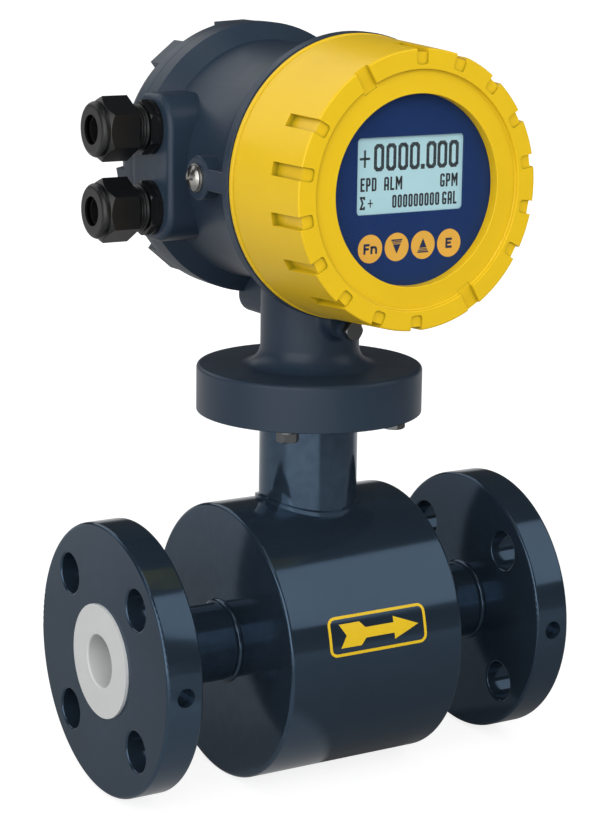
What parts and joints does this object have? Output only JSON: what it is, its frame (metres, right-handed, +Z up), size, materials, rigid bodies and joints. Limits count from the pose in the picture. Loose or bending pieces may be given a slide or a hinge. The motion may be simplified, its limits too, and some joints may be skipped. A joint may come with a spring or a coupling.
{
  "type": "electromagnetic flow meter",
  "caption": "Flanged electromagnetic flow meter: lined flow tube in a round coil housing, and a neck with a round transmitter head with a windowed screw cover, blind rear cover and glands.",
  "frame": {"origin": "middle of the flow tube, on its axis", "axes": "+X along the flow tube, in the direction of flow; the display faces -Y; +Z up through the neck"},
  "size_m": [0.187, 0.1366, 0.2962],
  "materials": {
    "sensor_paint": "gloss",
    "head_paint": "satin",
    "cover_paint": "satin",
    "liner": "matte",
    "winding": "satin",
    "core_iron": "matte",
    "electrode_steel": "satin",
    "bright_steel": "polished",
    "dark_steel": "satin",
    "seal_rubber": "matte",
    "window_glass": "clear",
    "gland_nylon": "satin",
    "panel_blue": "satin",
    "key_amber": "satin",
    "screen": "satin",
    "carrier_plastic": "matte",
    "circuit_board": "satin",
    "terminal_plastic": "satin"
  },
  "bodies": {
    "meter": {"tube_liner": "liner", "measuring_tube": "sensor_paint", "inlet_flange": "sensor_paint", "outlet_flange": "sensor_paint", "tube_welds": "sensor_paint", "coil_housing": "sensor_paint", "saddle_coils": "winding", "pole_cores": "core_iron", "magnet_yoke": "core_iron", "electrodes": "electrode_steel", "electrode_sleeves": "electrode_steel", "electrode_nuts": "bright_steel", "neck_tube": "sensor_paint", "neck_weld": "sensor_paint", "neck_plate": "sensor_paint", "neck_gasket": "seal_rubber", "neck_bolts": "bright_steel", "neck_washers": "bright_steel", "transmitter_housing": "head_paint", "front_seal": "seal_rubber", "gland_gasket_upper": "seal_rubber", "gland_gasket_lower": "seal_rubber", "gland_body_upper": "gland_nylon", "gland_body_lower": "gland_nylon", "display_panel": "panel_blue", "touch_keys": "key_amber", "lcd_pane": "screen", "display_carrier": "carrier_plastic", "display_board": "circuit_board", "display_pillars": "bright_steel", "main_board": "circuit_board", "board_pillars": "bright_steel", "terminal_block": "terminal_plastic", "terminal_screws": "bright_steel"},
    "window": {"window_glass": "window_glass"},
    "front_cover": {"front_cover": "cover_paint"},
    "rear_seal_ring": {"rear_seal": "seal_rubber"},
    "rear_cover": {"rear_cover": "head_paint"},
    "upper_gland_seal": {"gland_seal_upper": "seal_rubber"},
    "upper_gland_nut": {"gland_nut_upper": "gland_nylon"},
    "lower_gland_seal": {"gland_seal_lower": "seal_rubber"},
    "lower_gland_nut": {"gland_nut_lower": "gland_nylon"},
    "ground_washer": {"ground_washer": "bright_steel"},
    "ground_screw": {"ground_screw": "bright_steel"},
    "front_lock_washer": {"front_lock_washer": "bright_steel"},
    "front_lock_screw": {"front_lock_screw": "dark_steel"},
    "rear_lock_washer": {"rear_lock_washer": "bright_steel"},
    "rear_lock_screw": {"rear_lock_screw": "dark_steel"}
  },
  "joints": [
    {"name": "front_cover_travel", "type": "slide", "parent": "meter", "child": "window", "axis": [0, -1, 0], "range_m": [0, 0.01]},
    {"name": "front_cover_turn", "type": "hinge", "parent": "window", "child": "front_cover", "pos_m": [0, -0.0523, 0.1862], "axis": [0, -1, 0], "range_deg": [0, 1800]},
    {"name": "rear_cover_travel", "type": "slide", "parent": "meter", "child": "rear_seal_ring", "axis": [0, 1, 0], "range_m": [0, 0.006]},
    {"name": "rear_cover_turn", "type": "hinge", "parent": "rear_seal_ring", "child": "rear_cover", "pos_m": [0, 0.0545, 0.1862], "axis": [0, 1, 0], "range_deg": [0, 1080]},
    {"name": "upper_gland_travel", "type": "slide", "parent": "meter", "child": "upper_gland_seal", "axis": [-1, 0, 0], "range_m": [0, 0.006]},
    {"name": "upper_gland_turn", "type": "hinge", "parent": "upper_gland_seal", "child": "upper_gland_nut", "pos_m": [-0.072, 0.0308, 0.2019], "axis": [-1, 0, 0], "range_deg": [0, 1440]},
    {"name": "lower_gland_travel", "type": "slide", "parent": "meter", "child": "lower_gland_seal", "axis": [-1, 0, 0], "range_m": [0, 0.006]},
    {"name": "lower_gland_turn", "type": "hinge", "parent": "lower_gland_seal", "child": "lower_gland_nut", "pos_m": [-0.072, 0.0308, 0.1705], "axis": [-1, 0, 0], "range_deg": [0, 1440]},
    {"name": "ground_screw_travel", "type": "slide", "parent": "meter", "child": "ground_washer", "axis": [-1, 0, 0], "range_m": [0, 0.004]},
    {"name": "ground_screw_turn", "type": "hinge", "parent": "ground_washer", "child": "ground_screw", "pos_m": [-0.0555, -0.0059, 0.1862], "axis": [-1, 0, 0], "range_deg": [0, 1800]},
    {"name": "front_lock_travel", "type": "slide", "parent": "meter", "child": "front_lock_washer", "axis": [0, -1, 0], "range_m": [0, 0.0024]},
    {"name": "front_lock_turn", "type": "hinge", "parent": "front_lock_washer", "child": "front_lock_screw", "pos_m": [0, -0.031, 0.12736], "axis": [0, -1, 0], "range_deg": [0, 1080]},
    {"name": "rear_lock_travel", "type": "slide", "parent": "meter", "child": "rear_lock_washer", "axis": [0, 1, 0], "range_m": [0, 0.0024]},
    {"name": "rear_lock_turn", "type": "hinge", "parent": "rear_lock_washer", "child": "rear_lock_screw", "pos_m": [0, 0.0455, 0.12736], "axis": [0, 1, 0], "range_deg": [0, 1080]}
  ],
  "couplings": [
    {"joint": "front_cover_travel", "follows": "front_cover_turn", "m_per_rad": 0.00031831},
    {"joint": "rear_cover_travel", "follows": "rear_cover_turn", "m_per_rad": 0.00031831},
    {"joint": "upper_gland_turn", "follows": "upper_gland_travel", "rad_per_m": 4188.8},
    {"joint": "lower_gland_turn", "follows": "lower_gland_travel", "rad_per_m": 4188.8},
    {"joint": "ground_screw_turn", "follows": "ground_screw_travel", "rad_per_m": 7854},
    {"joint": "front_lock_turn", "follows": "front_lock_travel", "rad_per_m": 7854},
    {"joint": "rear_lock_turn", "follows": "rear_lock_travel", "rad_per_m": 7854}
  ]
}
